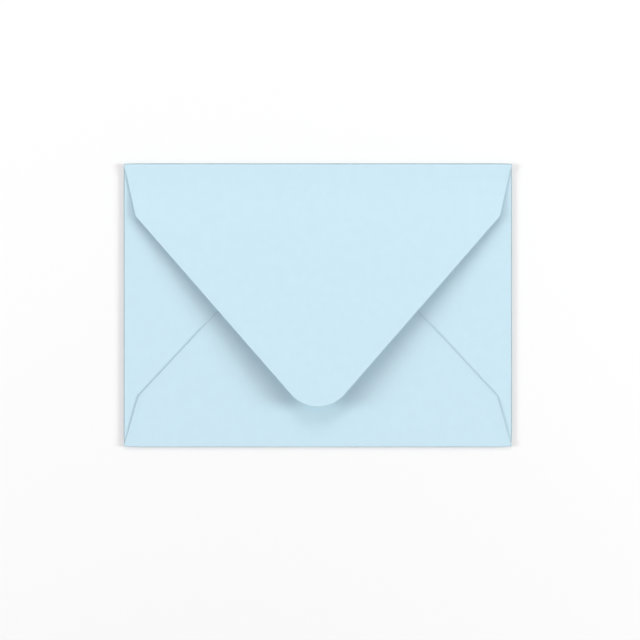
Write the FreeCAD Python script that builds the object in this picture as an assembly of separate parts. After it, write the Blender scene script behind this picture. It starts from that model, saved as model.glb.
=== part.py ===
import FreeCAD, Part
import math
import os

# A paper envelope with a deep pointed closing flap, lying on its address face.
#
# It is one die-cut sheet. The two side flaps fold in over the address panel. The bottom flap folds up
# over them and is gummed down where it crosses them, which makes the two slanting seams. The closing
# flap folds down over everything and isn't stuck, so it stands a few degrees off the back.
#
# Frame, as the back of the envelope is seen: +X is to the right, +Y is towards the closing flap's
# fold, and +Z is up out of the back. The origin is under the middle of the address panel, on the
# surface that the envelope lies on. Lengths are in millimetres, angles in degrees.

# The sheet
paper = 0.15  # thickness of the text-weight paper

# The folded body
body_width = 165.1  # between the side folds, 6.5 in
body_height = 120.65  # between the bottom fold and the top fold, 4.75 in
pocket_gap = 1.0  # room between the address panel and the side flaps
corner_slit = 0.1  # the side flaps are cut back this far from the folds above and below them

# The closing flap, with lengths from the top fold and from the side folds
flap_depth = 103.3  # top fold to the round tip
flap_shoulder_inset = 5.0
flap_shoulder_depth = 22.4
flap_shoulder_radius = 1.5
flap_tip_radius = 15.1
flap_fold_clearance = 0.1  # between the closing flap and the side flaps at the top fold
flap_start_angle = 5.4  # how steeply the flap leaves its fold
flap_end_angle = 3.2  # how steeply it still rises at its tip, as it bows back

# The bottom flap, with lengths from the bottom fold and from the side folds
bottom_flap_height = 72.0
bottom_shoulder_inset = 6.1
bottom_shoulder_height = 21.7
bottom_shoulder_radius = 1.5
bottom_flap_corner_radius = 14.0
seam_angle = 43.0  # between the slanting seams and the Y axis

# The side flaps, with lengths from the side folds and from the corners
side_flap_reach = 66.0  # to the point that the tip would have if it weren't rounded
side_tip_height = 64.0  # of that point above the bottom fold
side_tip_radius = 12.0
side_shoulder_inset = 4.2
side_upper_shoulder = 10.0
side_lower_shoulder = 8.0
side_shoulder_radius = 1.5

# Strips of paper are made a little too long, and then cut to their outline.
die_overshoot = 1.0  # how far the die reaches above the paper
tip_overshoot = 0.05  # of the flap's length, past its tip

half_width = body_width / 2
half_height = body_height / 2

# A fold is half a tube that wraps a gap. Its radii follow from what lies inside it.
side_fold_gap = pocket_gap
bottom_fold_gap = pocket_gap + paper
top_fold_gap = pocket_gap + paper + flap_fold_clearance


def outer_radius(gap):
    """The outer radius of a fold round a gap."""
    return gap / 2 + paper


side_fold_radius = outer_radius(side_fold_gap)
bottom_fold_radius = outer_radius(bottom_fold_gap)
top_fold_radius = outer_radius(top_fold_gap)


def toward(start, end, distance):
    """The point at a distance from start on the line to end."""
    step = end - start
    step.normalize()
    return start + step * distance


def line(start, end):
    return Part.LineSegment(start, end).toShape()


def arc(start, middle, end):
    return Part.Arc(start, middle, end).toShape()


def mirrored(corners):
    """Outline corners (x, y, radius) of the right half, then the same corners on the left."""
    return corners + [(-x, y, radius) for x, y, radius in reversed(corners)]


def outline_wire(corners):
    """A closed wire in plan through corners (x, y, radius), each rounded with its own radius."""
    points = [FreeCAD.Vector(x, y, 0) for x, y, radius in corners]
    edges = []
    starts = []
    ends = []
    for i, (x, y, radius) in enumerate(corners):
        here = points[i]
        before = points[i - 1]
        after = points[(i + 1) % len(points)]
        if radius == 0:
            starts.append(here)
            ends.append(here)
            continue
        half_turn = (before - here).getAngle(after - here) / 2
        first = toward(here, before, radius / math.tan(half_turn))
        last = toward(here, after, radius / math.tan(half_turn))
        centre = toward(here, (first + last) / 2, radius / math.sin(half_turn))
        starts.append(first)
        ends.append(last)
        edges.append(arc(first, toward(centre, here, radius), last))
    for i in range(len(points)):
        edges.append(line(ends[i - 1], starts[i]))
    return Part.Wire(Part.__sortEdges__(edges))


def cut_to_outline(strip, corners):
    """What lies inside an outline in plan, as the die cuts it."""
    reach = strip.BoundBox.ZMax + die_overshoot
    die = Part.Face(outline_wire(corners)).extrude(FreeCAD.Vector(0, 0, reach))
    return strip.common(die)


def flat_fold_section(gap, reach, place):
    """The section of a fold and its flat flap, as a face. Place turns (inward, up) into a point."""
    radius = outer_radius(gap)
    top = 2 * radius
    wire = Part.Wire(
        [
            arc(place(radius, 0), place(0, radius), place(radius, top)),
            line(place(radius, top), place(reach, top)),
            line(place(reach, top), place(reach, top - paper)),
            line(place(reach, top - paper), place(radius, top - paper)),
            arc(place(radius, top - paper), place(paper, radius), place(radius, paper)),
            line(place(radius, paper), place(radius, 0)),
        ]
    )
    return Part.Face(wire)


def address_panel():
    """The flat front panel, between the roots of its four folds."""
    length_y = body_height - bottom_fold_radius - top_fold_radius
    return Part.makeBox(
        body_width - 2 * side_fold_radius,
        length_y,
        paper,
        FreeCAD.Vector(side_fold_radius - half_width, bottom_fold_radius - half_height, 0),
    )


def side_flap():
    """The left side flap with its fold. The right one is its mirror image."""
    low = bottom_fold_radius + corner_slit - half_height
    high = half_height - top_fold_radius - corner_slit
    section = flat_fold_section(
        side_fold_gap,
        side_flap_reach,
        lambda inward, up: FreeCAD.Vector(inward - half_width, low, up),
    )
    strip = section.extrude(FreeCAD.Vector(0, high - low, 0))
    fold_line = -half_width
    shoulder = side_shoulder_inset - half_width
    tip = side_flap_reach - half_width
    corners = [
        (fold_line, high, 0),
        (side_fold_radius - half_width, high, 0),
        (shoulder, half_height - side_upper_shoulder, side_shoulder_radius),
        (tip, side_tip_height - half_height, side_tip_radius),
        (shoulder, side_lower_shoulder - half_height, side_shoulder_radius),
        (side_fold_radius - half_width, low, 0),
        (fold_line, low, 0),
    ]
    return cut_to_outline(strip, corners)


def bottom_flap():
    """The bottom flap with its fold. It lies on the side flaps."""
    section = flat_fold_section(
        bottom_fold_gap,
        bottom_flap_height,
        lambda inward, up: FreeCAD.Vector(-half_width, inward - half_height, up),
    )
    strip = section.extrude(FreeCAD.Vector(body_width, 0, 0))
    shoulder = half_width - bottom_shoulder_inset
    seam_run = bottom_flap_height - bottom_shoulder_height
    top_corner = shoulder - seam_run * math.tan(math.radians(seam_angle))
    corners = mirrored(
        [
            (half_width, -half_height, 0),
            (half_width, bottom_fold_radius - half_height, 0),
            (shoulder, bottom_shoulder_height - half_height, bottom_shoulder_radius),
            (top_corner, bottom_flap_height - half_height, bottom_flap_corner_radius),
        ]
    )
    return cut_to_outline(strip, corners)


def flap_apex_depth():
    """How far below the top fold the closing flap's straight edges would meet."""
    shoulder = half_width - flap_shoulder_inset
    drop = flap_depth - flap_tip_radius - flap_shoulder_depth
    to_centre = math.hypot(shoulder, drop)
    edge_angle = math.atan2(shoulder, drop) - math.asin(flap_tip_radius / to_centre)
    return flap_shoulder_depth + shoulder / math.tan(edge_angle)


def closing_flap():
    """The closing flap with its fold. It rises from the fold and bows back towards the body."""
    start = math.radians(flap_start_angle)
    end = math.radians(flap_end_angle)
    inner = top_fold_gap / 2
    outer = top_fold_radius
    fold_y = half_height - outer
    bow_radius = (flap_depth - outer) / (math.sin(start) - math.sin(end))
    bow_y = fold_y - (bow_radius - inner) * math.sin(start)
    bow_z = outer - (bow_radius - inner) * math.cos(start)
    past_tip = end - (start - end) * tip_overshoot

    def on_fold(radius, angle):
        return FreeCAD.Vector(
            -half_width,
            fold_y + radius * math.cos(angle),
            outer + radius * math.sin(angle),
        )

    def on_bow(radius, slope):
        return FreeCAD.Vector(
            -half_width,
            bow_y + radius * math.sin(slope),
            bow_z + radius * math.cos(slope),
        )

    down = -math.pi / 2
    leaves = math.pi / 2 - start
    halfway = (down + leaves) / 2
    mid_slope = (start + past_tip) / 2
    upper = bow_radius + paper
    wire = Part.Wire(
        [
            arc(on_fold(outer, down), on_fold(outer, halfway), on_fold(outer, leaves)),
            arc(on_bow(upper, start), on_bow(upper, mid_slope), on_bow(upper, past_tip)),
            line(on_bow(upper, past_tip), on_bow(bow_radius, past_tip)),
            arc(
                on_bow(bow_radius, past_tip),
                on_bow(bow_radius, mid_slope),
                on_bow(bow_radius, start),
            ),
            arc(on_fold(inner, leaves), on_fold(inner, halfway), on_fold(inner, down)),
            line(on_fold(inner, down), on_fold(outer, down)),
        ]
    )
    strip = Part.Face(wire).extrude(FreeCAD.Vector(body_width, 0, 0))
    shoulder = half_width - flap_shoulder_inset
    corners = mirrored(
        [
            (half_width, half_height, 0),
            (half_width, half_height - outer, 0),
            (shoulder, half_height - flap_shoulder_depth, flap_shoulder_radius),
        ]
    )
    corners.insert(3, (0, half_height - flap_apex_depth(), flap_tip_radius))
    return cut_to_outline(strip, corners)


def envelope():
    """The whole folded sheet as one solid."""
    left = side_flap()
    right = left.mirror(FreeCAD.Vector(0, 0, 0), FreeCAD.Vector(1, 0, 0))
    flaps = [left, right, bottom_flap(), closing_flap()]
    return address_panel().fuse(flaps).removeSplitter()


os.makedirs("parts", exist_ok=True)
sheet = envelope()
sheet.exportStep("parts/envelope.step")
print("envelope:", len(sheet.Solids), "solid,", round(sheet.Volume, 1), "mm3, valid", sheet.isValid())
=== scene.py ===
import math

import bpy
import numpy as np
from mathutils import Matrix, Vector, noise
from mathutils.geometry import delaunay_2d_cdt


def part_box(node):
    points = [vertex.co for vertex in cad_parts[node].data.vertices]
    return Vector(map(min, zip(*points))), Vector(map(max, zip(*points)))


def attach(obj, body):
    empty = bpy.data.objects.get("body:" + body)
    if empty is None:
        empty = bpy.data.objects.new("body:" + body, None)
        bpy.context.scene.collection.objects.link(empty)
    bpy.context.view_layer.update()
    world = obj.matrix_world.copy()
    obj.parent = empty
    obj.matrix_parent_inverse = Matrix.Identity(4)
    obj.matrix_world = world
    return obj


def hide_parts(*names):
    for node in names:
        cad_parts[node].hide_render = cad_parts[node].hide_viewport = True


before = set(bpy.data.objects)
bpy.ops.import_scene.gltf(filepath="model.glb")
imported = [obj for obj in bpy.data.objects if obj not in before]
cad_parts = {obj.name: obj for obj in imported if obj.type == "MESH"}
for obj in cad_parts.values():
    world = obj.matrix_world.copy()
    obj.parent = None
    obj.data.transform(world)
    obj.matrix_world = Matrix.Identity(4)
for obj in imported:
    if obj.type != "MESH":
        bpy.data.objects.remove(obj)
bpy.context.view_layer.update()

# A paper envelope with a deep pointed closing flap, lying on its address face.
#
# The sheet is modelled as the real one is made. A flat blank is cut to its outline, then wrapped round
# its four folds, and then given the thickness of the paper. So it is one closed mesh, and the grain of
# the paper runs on round every fold. Lengths are in millimetres unless a comment says metres, and angles
# are in degrees. The mesh is written in metres.
#
# A point of the blank is (u, v). It is where that point of the middle of the paper lies in the address
# panel, and the flaps carry on past the panel's edges, laid out flat.

metres = 0.001  # in a millimetre

# The sheet, as in the CAD model
paper = 0.15
pocket_gap = 1.0
corner_slit = 0.1
flap_fold_clearance = 0.1

# The closing flap
flap_depth = 103.3
flap_shoulder_inset = 5.0
flap_shoulder_depth = 22.4
flap_shoulder_radius = 1.5
flap_tip_radius = 15.1
flap_start_angle = 5.4
flap_end_angle = 3.2

# The bottom flap
bottom_flap_height = 72.0
bottom_shoulder_inset = 6.1
bottom_shoulder_height = 21.7
bottom_shoulder_radius = 1.5
bottom_flap_corner_radius = 14.0
seam_angle = 43.0

# The side flaps
side_flap_reach = 66.0
side_tip_height = 64.0
side_tip_radius = 12.0
side_shoulder_inset = 4.2
side_upper_shoulder = 10.0
side_lower_shoulder = 8.0
side_shoulder_radius = 1.5

# How the real sheet departs from flat, within the CAD model's box
pinch = 0.3  # how far the pressed folds close up on each side
pinch_width = 9.0  # from a fold, where the panels have parted again
pinch_corner = 4.0  # the pressed folds draw in by the pinch over this much of each end
top_pinch = 0.1  # the closing flap's fold is only pressed lightly
left_hover = 0.45  # how far the left fold is sprung up off the table, as the panels part
right_hover = 0.35
bottom_hover = 0.2
pillow_height = 0.22  # how far the back stands proud over the middle of the pocket
pillow_width = 55.0  # from a fold, where the back has its full height
seam_lift = 0.24  # how far the gummed edges of the bottom flap stand up
seam_lift_width = 2.0
seam_lift_start = 12.0  # this far from the bottom fold they stand up in full
glue_gap = 0.01  # between the bottom flap and the side flaps
print_through = 0.07  # how far the bottom flap sinks past the edges of the side flaps
print_through_width = 5.0
flap_sag = 0.8  # the share of the side folds' pinch that the closing flap follows
flap_sag_start = 9.0  # this far from its fold it follows in full
flap_ripple = 0.16  # how deep the closing flap's slow waves are
flap_ripple_length = 46.0
flap_ripple_start = 30.0  # this far from its fold the waves have their full depth
settled_length = 27.0  # the closing flap lies lower than in the CAD model, this far from its fold

# The mesh
grid_step = 2.2
grid_clear = 0.45  # of a grid step, between the last edge row and the grid
grid_overshoot = 2.0  # how far the grid runs on past each flap
edge_step = 1.1
arc_step = 0.35
least_arc_steps = 4
fold_rows = 12
edge_rows = (0.22, 0.6, 1.3)  # distances of the rows that follow a cut edge
edge_row_clear = 0.97  # the share of its distance that a row keeps from every cut edge
easing_rows = (0.25, 0.7, 1.4)  # distances of the rows that follow a fold
fold_margin = 1.5  # how far beside a fold its rows reach
fold_clear = 0.15  # from a cut edge to the points of a fold's rows
sliver_area = 0.0005  # triangles under this many square millimetres are rounding errors
same_point = 1e-5  # points nearer to each other than this are one

# Painted shade along each fold, standing in for the dark line where the fold meets the table
side_fold_shade = 1.0  # how dark the painted shade is, as a share of the fold shade tint
bottom_fold_shade = 0.12
top_fold_shade = 0.8
fold_shade_width = 1.0  # on each side of its middle, and it fades over the outer half of that

# The gummed band on the closing flap's inner face
gum_start = 26.0  # from the top fold
gum_start_fade = 4.0
gum_width = 15.0  # along the cut edge
gum_margin = 1.6  # of bare paper between the band and the cut edge
gum_outer_fade = 0.6
gum_inner_fade = 1.2
gum_waver = 1.2  # how far the band's edges wander
gum_tint = (0.985, 0.975, 0.93)
gum_smoothing = 0.45  # how much less rough it is than the paper

# The paper's finish, and the painted shade along its folds and cut edges. A tint scales the paper's colour.
paper_colour = (0.547, 0.734, 0.823)
paper_roughness = 0.78
paper_specular = 0.3
cloud_waves = 0.22  # of the paper's cloudy formation, to the millimetre
cloud_detail = 4.0
cloud_tints = (0.975, 1.025)
tooth_waves = 2.4  # of the paper's fine tooth, to the millimetre
tooth_detail = 3.0
tooth_roughness = 0.12
fibre_angles = (8, 52, 97, 141)
fibre_length = 2.6
fibre_width = 0.16
fibre_detail = 2.0
fibre_threshold = (0.5, 0.78)  # of the noise, where a fibre begins to show and shows in full
fibre_share = 0.35
fibre_tint = 1.05
# The tint of the painted shade along the folds
fold_shade_tint = 0.45
edge_shade_width = (0.3, 0.08)  # from the cut edge, where the painted shade along it begins to show and shows in full
# Painted shade along the cut edges: how much it shows, and its tint
edge_shade_share = 0.9
edge_shade_tint = 0.68
fibre_relief = 0.5  # heights in the bump, as multiples of its distance
tooth_relief = 0.9
cloud_relief = 1.5
bump_strength = 0.6
bump_distance = 0.012

# The floor, in metres
floor_half = 3.0
floor_drop = 0.00003  # below the envelope, so that the two surfaces stay apart
floor_grey = 0.893
floor_roughness = 0.9
floor_glow = 0.62
glow_start = 0.3  # from the middle
glow_end = 1.4

# The lights. A share of 1 lights a flat surface of pure white to full white.
light_distance = 1.5  # metres
cool_light = (0.872, 1, 0.966)
warm_fill = (1, 0.825, 0.875)
fill_share = 0.51
wall_white = 0.95
wall_top = (0.05, 0.17)  # 0 is level and 1 is straight up: the wall gives way to the fill between these

# The camera, with the envelope's edges in pixels of the photograph
photo_pixels = 640
body_left, body_right = 124.1, 511.6
body_top, body_bottom = 164.1, 446.4
lens = 150.0
sensor = 36.0
camera_reach = 20.0  # metres

lowest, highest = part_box("envelope")
half_width = (highest.x - lowest.x) / 2 / metres
half_height = (highest.y - lowest.y) / 2 / metres


class Flap:
    """The section of a flap, from the root of its fold on.

    The fold is a round bend about a gap. After it the flap rises at a start slope, which falls steadily to
    an end slope at its reach. A flat flap has neither."""

    def __init__(self, gap, reach, start=0.0, end=0.0):
        self.outer = gap / 2 + paper
        self.middle = gap / 2 + paper / 2
        self.start = math.radians(start)
        self.fold_length = self.middle * (math.pi - self.start)
        self.bend = 0.0
        if start != end:
            rise = math.sin(self.start) - math.sin(math.radians(end))
            self.bend = 1 / ((reach - self.outer) / rise + paper / 2)

    def section(self, length):
        """Where the middle of the paper is at a length from the root, and its normal: out, up, out, up."""
        turn = np.minimum(length, self.fold_length) / self.middle - math.pi / 2
        out = self.middle * np.cos(turn)
        up = self.outer + self.middle * np.sin(turn)
        normal_out = np.cos(turn)
        normal_up = np.sin(turn)
        past = np.maximum(length - self.fold_length, 0)
        if self.bend == 0:
            return out - past, up, normal_out, normal_up
        slope = self.start - self.bend * past
        out = out - (math.sin(self.start) - np.sin(slope)) / self.bend
        up = up + (np.cos(slope) - math.cos(self.start)) / self.bend
        after = past > 0
        normal_out = np.where(after, np.sin(slope), normal_out)
        normal_up = np.where(after, np.cos(slope), normal_up)
        return out, up, normal_out, normal_up

    def length_at(self, inward):
        """The length from the root, at a distance in plan from the fold line, past the fold."""
        past = inward - self.outer
        if self.bend == 0:
            return self.fold_length + past
        slope = np.arcsin(math.sin(self.start) - self.bend * (past + self.middle * math.sin(self.start)))
        return self.fold_length + (self.start - slope) / self.bend


side = Flap(pocket_gap, side_flap_reach)
bottom = Flap(pocket_gap + paper, bottom_flap_height)
closing = Flap(pocket_gap + paper + flap_fold_clearance, flap_depth, flap_start_angle, flap_end_angle)

panel_right = half_width - side.outer
panel_low = bottom.outer - half_height
panel_high = half_height - closing.outer


# The blank


def unit(vector):
    return vector / np.linalg.norm(vector)


def smooth(share):
    """An even step from 0 to 1."""
    share = np.clip(share, 0, 1)
    return share * share * (3 - 2 * share)


def mirrored(corners):
    """Outline corners (along, inward, radius) of the right half, then the same corners on the left."""
    return corners + [(-along, inward, radius) for along, inward, radius in reversed(corners)]


def corner_arc(before, here, after, radius):
    """Points of the arc that rounds a corner."""
    back = unit(before - here)
    on = unit(after - here)
    half_turn = math.acos(np.clip(back @ on, -1, 1)) / 2
    centre = here + unit(back + on) * radius / math.sin(half_turn)
    first = here + back * radius / math.tan(half_turn) - centre
    last = here + on * radius / math.tan(half_turn) - centre
    start = math.atan2(first[1], first[0])
    sweep = math.atan2(first[0] * last[1] - first[1] * last[0], first @ last)
    count = max(least_arc_steps, math.ceil(abs(sweep) * radius / arc_step))
    angles = start + sweep * np.linspace(0, 1, count + 1)
    return [centre + radius * np.array([math.cos(a), math.sin(a)]) for a in angles]


def outline(corners):
    """Points along an open outline in plan, with its corners rounded and its runs divided."""
    points = [np.array(corner[:2], float) for corner in corners]
    rounded = [points[0]]
    for i in range(1, len(points) - 1):
        rounded.extend(corner_arc(points[i - 1], points[i], points[i + 1], corners[i][2]))
    rounded.append(points[-1])
    divided = [rounded[0]]
    for start, end in zip(rounded, rounded[1:]):
        count = math.ceil(np.linalg.norm(end - start) / edge_step)
        divided.extend(start + (end - start) * k / count for k in range(1, count + 1))
    return np.array(divided)


def flap_outline(flap, corners):
    """A flap's cut edge in the blank, as (along, length from the root), from root to root."""
    plan = outline(corners)
    flat = np.column_stack([plan[:, 0], flap.length_at(plan[:, 1])])
    rows = flap.fold_length * np.arange(fold_rows) / fold_rows
    first = np.column_stack([np.full(fold_rows, flat[0, 0]), rows])
    last = np.column_stack([np.full(fold_rows, flat[-1, 0]), rows[::-1]])
    return np.vstack([first, flat, last])


def flap_apex_depth():
    """How far below the top fold the closing flap's straight edges would meet."""
    shoulder = half_width - flap_shoulder_inset
    drop = flap_depth - flap_tip_radius - flap_shoulder_depth
    to_centre = math.hypot(shoulder, drop)
    edge_angle = math.atan2(shoulder, drop) - math.asin(flap_tip_radius / to_centre)
    return flap_shoulder_depth + shoulder / math.tan(edge_angle)


def side_outline():
    """The cut edge of a side flap, up along the side fold."""
    corners = [
        (panel_low + corner_slit, side.outer, 0),
        (side_lower_shoulder - half_height, side_shoulder_inset, side_shoulder_radius),
        (side_tip_height - half_height, side_flap_reach, side_tip_radius),
        (half_height - side_upper_shoulder, side_shoulder_inset, side_shoulder_radius),
        (panel_high - corner_slit, side.outer, 0),
    ]
    return flap_outline(side, corners)


def bottom_outline():
    """The cut edge of the bottom flap, from right to left."""
    shoulder = half_width - bottom_shoulder_inset
    seam_run = bottom_flap_height - bottom_shoulder_height
    top_corner = shoulder - seam_run * math.tan(math.radians(seam_angle))
    corners = mirrored(
        [
            (half_width, bottom.outer, 0),
            (shoulder, bottom_shoulder_height, bottom_shoulder_radius),
            (top_corner, bottom_flap_height, bottom_flap_corner_radius),
        ]
    )
    return flap_outline(bottom, corners)


def closing_outline():
    """The cut edge of the closing flap, from right to left."""
    shoulder = half_width - flap_shoulder_inset
    corners = mirrored(
        [
            (half_width, closing.outer, 0),
            (shoulder, flap_shoulder_depth, flap_shoulder_radius),
        ]
    )
    corners.insert(2, (0, flap_apex_depth(), flap_tip_radius))
    return flap_outline(closing, corners)


def blank_outline():
    """The whole cut edge of the blank, as a closed loop of (u, v), anticlockwise."""
    right = side_outline()
    below = bottom_outline()[::-1]
    above = closing_outline()
    return np.vstack(
        [
            np.column_stack([below[:, 0], panel_low - below[:, 1]]),
            [[panel_right, panel_low]],
            np.column_stack([panel_right + right[:, 1], right[:, 0]]),
            [[panel_right, panel_high]],
            np.column_stack([above[:, 0], panel_high + above[:, 1]]),
            [[-panel_right, panel_high]],
            np.column_stack([-panel_right - right[::-1, 1], right[::-1, 0]]),
            [[-panel_right, panel_low]],
        ]
    )


def distance_to_loop(points, loop):
    """How far each point is from a closed loop, and whether it is inside."""
    runs = np.roll(loop, -1, axis=0) - loop
    nearest = np.full(len(points), np.inf)
    crossings = np.zeros(len(points), int)
    for (start_x, start_y), (run_x, run_y) in zip(loop, runs):
        away_x = points[:, 0] - start_x
        away_y = points[:, 1] - start_y
        share = (away_x * run_x + away_y * run_y) / (run_x * run_x + run_y * run_y)
        share = np.clip(share, 0, 1)
        nearest = np.minimum(nearest, np.hypot(away_x - share * run_x, away_y - share * run_y))
        if run_y != 0:
            rise = away_y / run_y
            crossings += (rise >= 0) & (rise < 1) & (away_x < rise * run_x)
    return nearest, crossings % 2 == 1


def levels(low, high):
    """Evenly spaced values from low to high, about a grid step apart."""
    return np.linspace(low, high, math.ceil((high - low) / grid_step) + 1)


def flap_levels(flap, reach):
    """Lengths from the root for a flap's rows: close together on the fold, then a grid step apart."""
    fold = flap.fold_length * np.arange(1, fold_rows + 1) / fold_rows
    easing = flap.fold_length + np.array(easing_rows)
    beyond = np.arange(easing[-1] + grid_step / 2, reach + grid_overshoot, grid_step)
    return np.concatenate([fold, easing, beyond])


def grid_points():
    """Grid points over the blank and past it: the panel's, and each flap's rows."""
    across = levels(-panel_right, panel_right)
    upward = levels(panel_low, panel_high)
    beyond = panel_right + flap_levels(side, side_flap_reach)
    below = panel_low - flap_levels(bottom, bottom_flap_height)
    above = panel_high + flap_levels(closing, flap_depth)
    blocks = [
        (across, upward),
        (beyond, upward),
        (-beyond, upward),
        (across, below),
        (across, above),
    ]
    return np.vstack([np.stack(np.meshgrid(a, b), axis=-1).reshape(-1, 2) for a, b in blocks])


def rows_along(loop, distance):
    """The loop's points moved inward, where that leaves them clear of the rest of the loop."""
    ahead = np.roll(loop, -1, axis=0) - np.roll(loop, 1, axis=0)
    inward = np.column_stack([-ahead[:, 1], ahead[:, 0]])
    inward /= np.linalg.norm(inward, axis=1)[:, None]
    moved = loop + inward * distance
    nearest, inside = distance_to_loop(moved, loop)
    return moved[inside & (nearest > distance * edge_row_clear)]


def fold_lines():
    """The two ends of each line where a fold begins or ends, one after the other."""
    low = panel_low + corner_slit
    high = panel_high - corner_slit
    ends = []
    for x in (panel_right, panel_right + side.fold_length):
        ends += [(x, low), (x, high), (-x, low), (-x, high)]
    for y in (panel_low, panel_high):
        ends += [(-panel_right, y), (panel_right, y)]
    for y in (panel_low - bottom.fold_length, panel_high + closing.fold_length):
        ends += [(-half_width, y), (half_width, y)]
    return np.array(ends)


def lengths_from_roots(points):
    """How far blank points lie past the root of each fold, with its flap.

    A side fold is only as long as the panel, so points above and below the panel are none of its own."""
    u, v = points[:, 0], points[:, 1]
    beside_panel = (v > panel_low) & (v < panel_high)
    past_side = np.where(beside_panel, np.abs(u) - panel_right, -np.inf)
    return ((past_side, side), (panel_low - v, bottom), (v - panel_high, closing))


def near_fold(points):
    """Whether each blank point is on a fold or on one of the rows beside it."""
    near = np.zeros(len(points), bool)
    for length, flap in lengths_from_roots(points):
        near |= (length > -fold_margin) & (length < flap.fold_length + fold_margin)
    return near


def blank_mesh():
    """The flat blank as points, triangles and the distance of each point from the cut edge."""
    loop = blank_outline()
    grid = grid_points()
    nearest, inside = distance_to_loop(grid, loop)
    clear = np.where(near_fold(grid), fold_clear, edge_rows[-1] + grid_clear * grid_step)
    inner = [grid[inside & (nearest > clear)]]
    for distance in edge_rows:
        row = rows_along(loop, distance)
        inner.append(row[~near_fold(row)])

    edges = [(i, (i + 1) % len(loop)) for i in range(len(loop))]
    lines = fold_lines()
    edges += [(i, i + 1) for i in range(len(loop), len(loop) + len(lines), 2)]
    points = np.vstack([loop, lines, *inner])
    inside_only = 1
    found = delaunay_2d_cdt([Vector(p) for p in points], edges, [], inside_only, same_point, False)
    points = np.array([tuple(p) for p in found[0]])
    triangles = np.array(found[2])

    _, inside = distance_to_loop(points[triangles].mean(axis=1), loop)
    across = points[triangles[:, 1]] - points[triangles[:, 0]]
    along = points[triangles[:, 2]] - points[triangles[:, 0]]
    area = (across[:, 0] * along[:, 1] - across[:, 1] * along[:, 0]) / 2
    used, triangles = np.unique(triangles[inside & (area > sliver_area)], return_inverse=True)
    points = points[used]
    cut, _ = distance_to_loop(points, loop)
    return points, triangles.reshape(-1, 3), cut


# The folded sheet


def fold_shade(points):
    """Painted shade along each fold: its share in the middle of the bend, and 0 off it."""
    painted_shade = np.zeros(len(points))
    for (length, flap), share in zip(lengths_from_roots(points), (side_fold_shade, bottom_fold_shade, top_fold_shade)):
        off_middle = np.abs(length - flap.fold_length / 2)
        painted_shade = np.maximum(painted_shade, share * smooth(2 - 2 * off_middle / fold_shade_width))
    return painted_shade


def slow_noise(x, y, length):
    """Smooth noise between about -1 and 1, with waves about as long as length."""
    between_layers = 0.5
    return np.array([noise.noise(Vector((a / length, b / length, between_layers))) for a, b in zip(x, y)])


def side_flap_cover(x, y):
    """How far inside the side flap's edge a point of the bottom flap lies, in plan. Negative is outside."""
    start = np.array([side_shoulder_inset, side_lower_shoulder])
    end = np.array([side_flap_reach, side_tip_height])
    along = unit(end - start)
    inward = half_width - np.abs(x) - start[0]
    upward = y + half_height - start[1]
    return upward * along[0] - inward * along[1]


def held(distance):
    """How firmly a fold still holds two panels together at a distance from it: 1 at it, falling to 0."""
    return (1 - np.clip(distance / pinch_width, 0, 1)) ** 2


def wrapped(points):
    """The blank wrapped round its folds.

    Gives the middle of the paper at each point, the normal of its outer face, and which points lie on the
    side flaps, the bottom flap and the closing flap."""
    u, v = points[:, 0], points[:, 1]
    place = np.column_stack([u, v, np.full(len(u), paper / 2)])
    normal = np.tile([0.0, 0.0, -1.0], (len(u), 1))
    on_side = np.abs(u) > panel_right
    on_side &= (v > panel_low + corner_slit / 2) & (v < panel_high - corner_slit / 2)
    on_bottom = v < panel_low
    on_closing = v > panel_high
    for flap, on_flap, axis, root, outward, length in (
        (side, on_side, 0, np.sign(u) * panel_right, np.sign(u), np.abs(u) - panel_right),
        (bottom, on_bottom, 1, panel_low, -1, panel_low - v),
        (closing, on_closing, 1, panel_high, 1, v - panel_high),
    ):
        out, up, normal_out, normal_up = flap.section(length)
        place[on_flap, axis] = (root + outward * out)[on_flap]
        place[on_flap, 2] = up[on_flap]
        normal[on_flap, axis] = (outward * normal_out)[on_flap]
        normal[on_flap, 2] = normal_up[on_flap]
    return place, normal, on_side, on_bottom, on_closing


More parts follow.
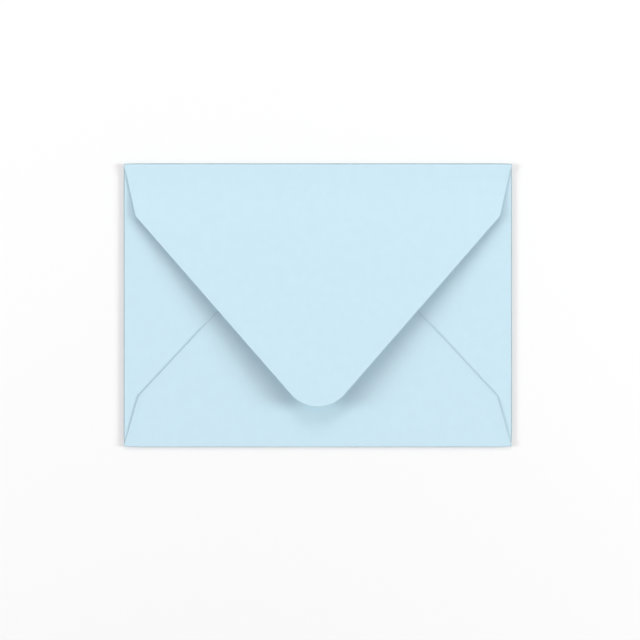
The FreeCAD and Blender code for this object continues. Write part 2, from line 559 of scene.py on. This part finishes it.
def folded(points, cut):
    """Folds the blank: the middle of the paper at each point, and the normal of its outer face."""
    place, normal, on_side, on_bottom, on_closing = wrapped(points)
    x, y = place[:, 0], place[:, 1]
    v = points[:, 1]
    past_bottom_fold = panel_low - v - bottom.fold_length
    past_top_fold = v - panel_high - closing.fold_length

    from_side = np.maximum(panel_right - np.abs(x), 0)
    from_bottom = np.maximum(y - panel_low, 0)
    from_top = np.maximum(panel_high - y, 0)
    at_side = pinch * held(from_side)
    at_bottom = pinch * held(from_bottom)
    at_top = top_pinch * held(from_top)

    # The pressed folds draw the panels in. The closing flap leaves them, and follows only in part.
    drawn = pinch - (pinch - at_side) * (pinch - at_bottom) * (pinch - at_top) / pinch**2
    lift = -drawn
    off_fold = smooth((v - panel_high) / closing.fold_length)
    sag = flap_sag * at_side * smooth(past_top_fold / flap_sag_start)
    lift[on_closing] += ((drawn - at_top) * off_fold - sag)[on_closing]

    # The back stands proud, and on it the bottom flap's gummed edges lift and the side flaps print through.
    pillow = pillow_height * smooth(from_side / pillow_width)
    pillow *= smooth(from_bottom / pillow_width) * smooth(from_top / pillow_width)
    lift[on_side] += pillow[on_side]
    edge_lift = seam_lift * (1 - smooth(cut / seam_lift_width))
    sunk = print_through * (1 - smooth(side_flap_cover(x, y) / print_through_width + 1))
    off_fold = smooth(past_bottom_fold / seam_lift_start)
    lift[on_bottom] += (pillow + (edge_lift + glue_gap - sunk) * off_fold)[on_bottom]

    # The closing flap has slow waves, and at first it stays down at the height where its fold ends.
    ripple = 0.5 + 0.5 * slow_noise(x, y, flap_ripple_length)
    ripple *= flap_ripple * smooth(past_top_fold / flap_ripple_start)
    rise = place[:, 2] - (2 * closing.outer - paper / 2)
    settled = rise * (1 - smooth(past_top_fold / settled_length))
    settled[past_top_fold < 0] = 0
    lift[on_closing] -= (ripple + settled)[on_closing]

    # The folds keep their place in plan, apart from their ends, and are sprung up off the table.
    shift = np.zeros_like(place)
    ends = smooth(from_bottom / pinch_corner) * smooth(from_top / pinch_corner)
    shift[:, 0] = np.where(on_bottom | on_closing, 0, np.sign(x) * at_side * ends)
    ends = smooth(from_side / pinch_corner)
    shift[:, 1] = np.where(on_closing | (y > panel_high), at_top, -at_bottom) * ends
    shift[on_side, 1] = 0
    side_hover = np.where(x < 0, left_hover, right_hover) * held(from_side)
    shift[:, 2] = np.maximum(side_hover, bottom_hover * held(from_bottom))
    return place + normal * lift[:, None] + shift, normal


def envelope_sheet():
    """The folded sheet as one closed mesh object, with the paper's thickness."""
    points, triangles, cut = blank_mesh()
    middle, normal = folded(points, cut)
    count = len(points)
    inner = middle - normal * paper / 2
    outer = middle + normal * paper / 2

    triangles = triangles.tolist()
    edges = [edge for a, b, c in triangles for edge in ((a, b), (b, c), (c, a))]
    known = set(edges)
    rim = [(a, b) for a, b in edges if (b, a) not in known]

    faces = [(a, b, c) for a, b, c in triangles]
    faces += [(c + count, b + count, a + count) for a, b, c in triangles]
    faces += [(b, a, a + count, b + count) for a, b in rim]
    mesh = bpy.data.meshes.new("folded_sheet")
    mesh.from_pydata((np.vstack([inner, outer]) * metres).tolist(), [], faces)
    mesh.validate()
    mesh.update()
    mesh.polygons.foreach_set("use_smooth", [True] * len(mesh.polygons))

    rim_edges = {frozenset((a + face, b + face)) for a, b in rim for face in (0, count)}
    for edge in mesh.edges:
        edge.use_edge_sharp = frozenset(edge.vertices) in rim_edges

    flat = mesh.uv_layers.new(name="blank")
    for loop in mesh.loops:
        flat.data[loop.index].uv = points[loop.vertex_index % count] * metres

    gummed = smooth((points[:, 1] - panel_high - gum_start) / gum_start_fade)
    for name, values in (
        ("cut", np.tile(cut, 2)),
        # The painted shade along the folds is stored at the points
        ("fold_shade", np.tile(fold_shade(points), 2)),
        ("gum", np.concatenate([gummed, np.zeros(count)])),
    ):
        stored = mesh.attributes.new(name, "FLOAT", "POINT")
        stored.data.foreach_set("value", values.astype(np.float32))
    piece = bpy.data.objects.new("folded_sheet", mesh)
    bpy.context.scene.collection.objects.link(piece)
    return piece


# Materials


def feed(tree, socket, value):
    """Links a socket to an output, or sets it to a value."""
    if isinstance(value, bpy.types.NodeSocket):
        tree.links.new(value, socket)
    else:
        socket.default_value = value


def maths(tree, operation, *values):
    """One operation on outputs or numbers."""
    node = tree.nodes.new("ShaderNodeMath")
    node.operation = operation
    for socket, value in zip(node.inputs, values):
        feed(tree, socket, value)
    return node.outputs[0]


def step(tree, value, low, high):
    """A smooth step from 0 at low to 1 at high. It falls where low is the larger."""
    node = tree.nodes.new("ShaderNodeMapRange")
    node.interpolation_type = "SMOOTHSTEP"
    feed(tree, node.inputs["Value"], value)
    node.inputs["From Min"].default_value = min(low, high)
    node.inputs["From Max"].default_value = max(low, high)
    node.inputs["To Min"].default_value = float(low > high)
    node.inputs["To Max"].default_value = float(low <= high)
    return node.outputs[0]


def noise_at(tree, place, per_length, detail):
    """Noise from 0 to 1 with so many waves to the unit of place."""
    node = tree.nodes.new("ShaderNodeTexNoise")
    feed(tree, node.inputs["Vector"], place)
    node.inputs["Scale"].default_value = per_length
    node.inputs["Detail"].default_value = detail
    return node.outputs[0]


def blend_colour(tree, share, first, second):
    """A colour between two. The Mix node's colours are its inputs 6 and 7, and its output 2."""
    node = tree.nodes.new("ShaderNodeMix")
    node.data_type = "RGBA"
    feed(tree, node.inputs[0], share)
    feed(tree, node.inputs[6], first)
    feed(tree, node.inputs[7], second)
    return node.outputs[2]


def tinted(colour, *factors):
    """A colour for a colour socket, with its channels scaled by one factor or by three."""
    each = factors * (3 // len(factors))
    return (*(min(1, channel * factor) for channel, factor in zip(colour, each)), 1)


def stored_value(tree, name):
    """A value that is stored at the mesh's points."""
    node = tree.nodes.new("ShaderNodeAttribute")
    node.attribute_name = name
    return node.outputs["Fac"]


def fibres(tree, place, angle):
    """Fine streaks at an angle to the sheet, from 0 to 1."""
    turned = tree.nodes.new("ShaderNodeMapping")
    feed(tree, turned.inputs["Vector"], place)
    turned.inputs["Rotation"].default_value = (0, 0, math.radians(angle))
    turned.inputs["Scale"].default_value = (1 / fibre_length, 1 / fibre_width, 1)
    return step(tree, noise_at(tree, turned.outputs[0], 1.0, fibre_detail), *fibre_threshold)


def paper_material():
    """Matt pale blue paper. It has a cloudy formation and crossing fibres, and painted shade along its cut
    edges and along its folds. The gummed band under the closing flap is smoother."""
    material = bpy.data.materials.new("pale_blue_paper")
    material.use_nodes = True
    tree = material.node_tree
    shader = tree.nodes["Principled BSDF"]

    sheet_place = tree.nodes.new("ShaderNodeUVMap")
    sheet_place.uv_map = "blank"
    in_millimetres = tree.nodes.new("ShaderNodeVectorMath")
    in_millimetres.operation = "SCALE"
    feed(tree, in_millimetres.inputs["Vector"], sheet_place.outputs[0])
    in_millimetres.inputs["Scale"].default_value = 1 / metres
    place = in_millimetres.outputs[0]

    cloud = noise_at(tree, place, cloud_waves, cloud_detail)
    tooth = noise_at(tree, place, tooth_waves, tooth_detail)
    strands, *more = [fibres(tree, place, angle) for angle in fibre_angles]
    for layer in more:
        strands = maths(tree, "MAXIMUM", strands, layer)

    colour = blend_colour(tree, cloud, *(tinted(paper_colour, tint) for tint in cloud_tints))
    shown = maths(tree, "MULTIPLY", strands, fibre_share)
    colour = blend_colour(tree, shown, colour, tinted(paper_colour, fibre_tint))
    # Painted shade along the folds
    colour = blend_colour(tree, stored_value(tree, "fold_shade"), colour, tinted(paper_colour, fold_shade_tint))
    # Painted shade along the cut edges
    cut_distance = stored_value(tree, "cut")
    shown = maths(tree, "MULTIPLY", step(tree, cut_distance, *edge_shade_width), edge_shade_share)
    colour = blend_colour(tree, shown, colour, tinted(paper_colour, edge_shade_tint))

    uneven = maths(tree, "MULTIPLY_ADD", cloud, gum_waver, cut_distance)
    gum_end = gum_margin + gum_width
    inner_side = step(tree, uneven, gum_end + gum_inner_fade, gum_end)
    outer_side = step(tree, uneven, gum_margin, gum_margin + gum_outer_fade)
    band = maths(tree, "MULTIPLY", inner_side, outer_side)
    gum = maths(tree, "MULTIPLY", band, stored_value(tree, "gum"))
    colour = blend_colour(tree, gum, colour, tinted(paper_colour, *gum_tint))
    feed(tree, shader.inputs["Base Color"], colour)

    roughness = maths(tree, "MULTIPLY_ADD", tooth, tooth_roughness, paper_roughness)
    roughness = maths(tree, "MULTIPLY_ADD", gum, -gum_smoothing, roughness)
    feed(tree, shader.inputs["Roughness"], roughness)
    shader.inputs["Specular IOR Level"].default_value = paper_specular

    height = maths(tree, "MULTIPLY", tooth, tooth_relief)
    height = maths(tree, "MULTIPLY_ADD", strands, fibre_relief, height)
    height = maths(tree, "MULTIPLY_ADD", cloud, cloud_relief, height)
    bump = tree.nodes.new("ShaderNodeBump")
    feed(tree, bump.inputs["Height"], height)
    bump.inputs["Strength"].default_value = bump_strength
    bump.inputs["Distance"].default_value = bump_distance * metres
    feed(tree, shader.inputs["Normal"], bump.outputs[0])
    return material


def floor_material():
    """Plain white card. Far from the envelope it glows a little, and stays white where no light reaches."""
    material = bpy.data.materials.new("white_floor")
    material.use_nodes = True
    tree = material.node_tree
    shader = tree.nodes["Principled BSDF"]
    place = tree.nodes.new("ShaderNodeTexCoord")
    distance = tree.nodes.new("ShaderNodeVectorMath")
    distance.operation = "LENGTH"
    feed(tree, distance.inputs[0], place.outputs["Object"])
    glow = step(tree, distance.outputs["Value"], glow_start, glow_end)
    feed(tree, shader.inputs["Emission Strength"], maths(tree, "MULTIPLY", glow, floor_glow))
    shader.inputs["Emission Color"].default_value = tinted(cool_light, 1)
    shader.inputs["Base Color"].default_value = (floor_grey, floor_grey, floor_grey, 1)
    shader.inputs["Roughness"].default_value = floor_roughness
    shader.inputs["Specular IOR Level"].default_value = 0.0
    return material


# The room


def floor_card():
    """A square floor round the envelope."""
    corners = [(x * floor_half, y * floor_half, -floor_drop) for x, y in ((-1, -1), (1, -1), (1, 1), (-1, 1))]
    mesh = bpy.data.meshes.new("floor")
    mesh.from_pydata(corners, [], [(0, 1, 2, 3)])
    mesh.materials.append(floor_material())
    card = bpy.data.objects.new("floor", mesh)
    bpy.context.scene.collection.objects.link(card)
    return card


def soft_light(name, azimuth, elevation, size, share):
    """A square soft light that faces the middle of the envelope. Azimuth 0 is +X and 90 is +Y.

    Size is in metres, and share is how much light it throws on the floor."""
    around = math.radians(azimuth)
    above = math.radians(elevation)
    light = bpy.data.lights.new(name, "AREA")
    light.shape = "SQUARE"
    light.size = size
    light.energy = math.pi**2 * share * light_distance**2 / math.sin(above)
    light.color = cool_light
    lamp = bpy.data.objects.new(name, light)
    level = math.cos(above)
    direction = Vector((math.cos(around) * level, math.sin(around) * level, math.sin(above)))
    lamp.location = direction * light_distance
    lamp.rotation_mode = "QUATERNION"
    lamp.rotation_quaternion = direction.to_track_quat("Z", "Y")
    lamp.visible_camera = False
    bpy.context.scene.collection.objects.link(lamp)


def white_room():
    """Soft fill light from above, and a white wall all round the horizon."""
    world = bpy.data.worlds.new("white_room")
    world.use_nodes = True
    tree = world.node_tree
    direction = tree.nodes.new("ShaderNodeTexCoord")
    axes = tree.nodes.new("ShaderNodeSeparateXYZ")
    feed(tree, axes.inputs[0], direction.outputs["Generated"])
    overhead = step(tree, axes.outputs["Z"], *wall_top)
    wall = (wall_white, wall_white, wall_white, 1)
    colour = blend_colour(tree, overhead, wall, tinted(warm_fill, fill_share))
    feed(tree, tree.nodes["Background"].inputs["Color"], colour)
    return world


def straight_down_camera():
    """A camera that looks straight down, a little off the middle as in the photograph."""
    pixel = 2 * half_width / (body_right - body_left) * metres
    data = bpy.data.cameras.new("camera")
    data.lens = lens
    data.sensor_width = sensor
    data.clip_end = camera_reach
    camera = bpy.data.objects.new("camera", data)
    camera.location = (
        (photo_pixels / 2 - (body_left + body_right) / 2) * pixel,
        ((body_top + body_bottom) / 2 - photo_pixels / 2) * pixel,
        photo_pixels * pixel * lens / sensor,
    )
    bpy.context.scene.collection.objects.link(camera)
    return camera


sheet = envelope_sheet()
sheet.data.materials.append(paper_material())
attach(sheet, "root")
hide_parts("envelope")

floor_card()
soft_light("light_left", azimuth=180, elevation=28, size=0.5, share=0.246)
soft_light("light_right", azimuth=0, elevation=28, size=0.5, share=0.29)
soft_light("light_above", azimuth=90, elevation=42, size=0.6, share=0.165)
bpy.context.scene.world = white_room()
bpy.context.scene.view_settings.view_transform = "Standard"
bpy.context.scene.camera = straight_down_camera()
